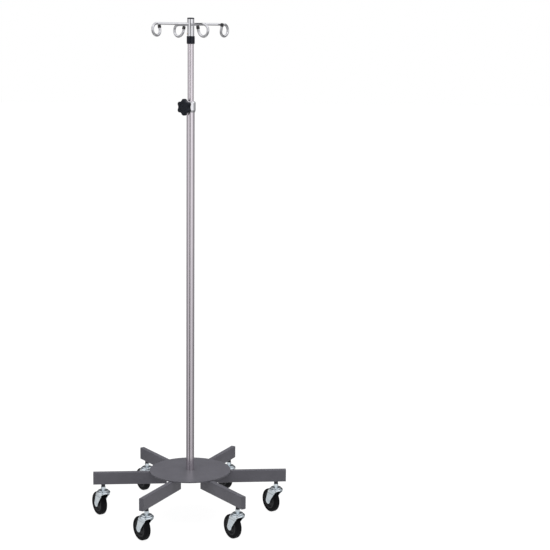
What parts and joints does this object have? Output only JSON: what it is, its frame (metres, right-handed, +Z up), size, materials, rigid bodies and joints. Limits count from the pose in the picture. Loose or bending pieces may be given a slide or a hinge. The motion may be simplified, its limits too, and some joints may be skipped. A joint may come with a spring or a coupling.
{
  "type": "rolling infusion stand",
  "caption": "Rolling infusion stand: round base plate on welded tube legs with swivel casters, telescoping steel mast with a lobed clamp knob, and pigtail bag hooks.",
  "frame": {"origin": "on the floor under the mast's axis, at the level the wheels stand on", "axes": "+Z up along the mast, +X along the first leg, +Y a quarter turn left of it"},
  "size_m": [0.6268, 0.5724, 1.5846],
  "materials": {
    "grey_paint": "fine-textured grey powder coat on welded steel",
    "zinc": "bright zinc plate on pressed and turned steel",
    "dark_steel": "black oxide, satin",
    "tyre_rubber": "black rubber, satin",
    "hub_plastic": "black moulded plastic",
    "stainless": "polished stainless tube with fine drawing lines",
    "polished_steel": "polished plated steel",
    "black_plastic": "glossy black moulded plastic",
    "black_rubber": "black dipped rubber",
    "nylon": "natural nylon",
    "brass": "machined brass"
  },
  "bodies": {
    "base": {"base_plate": "grey_paint", "leg_end_plates": "grey_paint", "stem_inserts": "zinc", "mast_socket": "grey_paint", "base_washer": "zinc", "base_bolt": "zinc", "caster_stems": "zinc", "stem_sleeves": "dark_steel", "swivel_race_caps": "zinc", "swivel_balls": "polished_steel", "lower_mast": "stainless", "mast_plug": "zinc", "clamp_collar": "polished_steel", "guide_bush": "nylon", "leg_1": "grey_paint", "leg_2": "grey_paint", "leg_3": "grey_paint", "leg_4": "grey_paint", "leg_5": "grey_paint", "leg_6": "grey_paint"},
    "swivel_1": {"fork_1": "zinc", "axle_1": "zinc"},
    "wheel_1": {"wheel_hub_1": "hub_plastic", "tyre_1": "tyre_rubber"},
    "swivel_2": {"fork_2": "zinc", "axle_2": "zinc"},
    "wheel_2": {"wheel_hub_2": "hub_plastic", "tyre_2": "tyre_rubber"},
    "swivel_3": {"fork_3": "zinc", "axle_3": "zinc"},
    "wheel_3": {"wheel_hub_3": "hub_plastic", "tyre_3": "tyre_rubber"},
    "swivel_4": {"fork_4": "zinc", "axle_4": "zinc"},
    "wheel_4": {"wheel_hub_4": "hub_plastic", "tyre_4": "tyre_rubber"},
    "swivel_5": {"fork_5": "zinc", "axle_5": "zinc"},
    "wheel_5": {"wheel_hub_5": "hub_plastic", "tyre_5": "tyre_rubber"},
    "swivel_6": {"fork_6": "zinc", "axle_6": "zinc"},
    "wheel_6": {"wheel_hub_6": "hub_plastic", "tyre_6": "tyre_rubber"},
    "glide": {"glide_bush": "nylon"},
    "mast": {"upper_mast": "stainless", "mast_foot_plug": "nylon", "retaining_ring": "zinc", "stop_collar": "black_plastic", "head_tube": "polished_steel", "top_cap": "black_plastic", "head_screw": "brass", "hook_rod_upper": "polished_steel", "hook_rod_lower": "polished_steel", "hook_tips_upper": "black_rubber", "hook_tips_lower": "black_rubber"},
    "pad": {"pressure_pad": "brass"},
    "screw": {"knob": "black_plastic", "knob_stud": "polished_steel", "knob_cap": "black_plastic"}
  },
  "joints": [
    {"name": "caster_1_swivel", "type": "hinge", "parent": "base", "child": "swivel_1", "pos_m": [0.2785, 0, 0.0825], "axis": [0, 0, 1], "continuous": true},
    {"name": "wheel_1_spin", "type": "hinge", "parent": "swivel_1", "child": "wheel_1", "pos_m": [0.26485, 0.02271, 0.038], "axis": [-0.8572, -0.515, 0], "continuous": true},
    {"name": "caster_2_swivel", "type": "hinge", "parent": "base", "child": "swivel_2", "pos_m": [0.13925, 0.24119, 0.0825], "axis": [0, 0, 1], "continuous": true},
    {"name": "wheel_2_spin", "type": "hinge", "parent": "swivel_2", "child": "wheel_2", "pos_m": [0.1256, 0.2639, 0.038], "axis": [-0.8572, -0.515, 0], "continuous": true},
    {"name": "caster_3_swivel", "type": "hinge", "parent": "base", "child": "swivel_3", "pos_m": [-0.13925, 0.24119, 0.0825], "axis": [0, 0, 1], "continuous": true},
    {"name": "wheel_3_spin", "type": "hinge", "parent": "swivel_3", "child": "wheel_3", "pos_m": [-0.1525, 0.26414, 0.038], "axis": [-0.866, -0.5, 0], "continuous": true},
    {"name": "caster_4_swivel", "type": "hinge", "parent": "base", "child": "swivel_4", "pos_m": [-0.2785, 0, 0.0825], "axis": [0, 0, 1], "continuous": true},
    {"name": "wheel_4_spin", "type": "hinge", "parent": "swivel_4", "child": "wheel_4", "pos_m": [-0.29155, 0.02306, 0.038], "axis": [-0.8704, -0.4924, 0], "continuous": true},
    {"name": "caster_5_swivel", "type": "hinge", "parent": "base", "child": "swivel_5", "pos_m": [-0.13925, -0.24119, 0.0825], "axis": [0, 0, 1], "continuous": true},
    {"name": "wheel_5_spin", "type": "hinge", "parent": "swivel_5", "child": "wheel_5", "pos_m": [-0.15407, -0.21922, 0.038], "axis": [-0.829, -0.5592, 0], "continuous": true},
    {"name": "caster_6_swivel", "type": "hinge", "parent": "base", "child": "swivel_6", "pos_m": [0.13925, -0.24119, 0.0825], "axis": [0, 0, 1], "continuous": true},
    {"name": "wheel_6_spin", "type": "hinge", "parent": "swivel_6", "child": "wheel_6", "pos_m": [0.12521, -0.21871, 0.038], "axis": [-0.848, -0.5299, 0], "continuous": true},
    {"name": "mast_height", "type": "slide", "parent": "base", "child": "glide", "axis": [0, 0, 1], "range_m": [-0.173, 0.7]},
    {"name": "mast_turn", "type": "hinge", "parent": "glide", "child": "mast", "pos_m": [0, 0, 0.53], "axis": [0, 0, 1], "continuous": true},
    {"name": "pad_slide", "type": "slide", "parent": "base", "child": "pad", "axis": [-0.6769, -0.7361, 0], "range_m": [0, 0.0019]},
    {"name": "knob_turn", "type": "hinge", "parent": "pad", "child": "screw", "pos_m": [0, 0, 1.3135], "axis": [-0.6769, -0.7361, 0], "range_deg": [0, 540]}
  ],
  "couplings": [
    {"joint": "pad_slide", "follows": "knob_turn", "m_per_rad": 0.00019894}
  ]
}
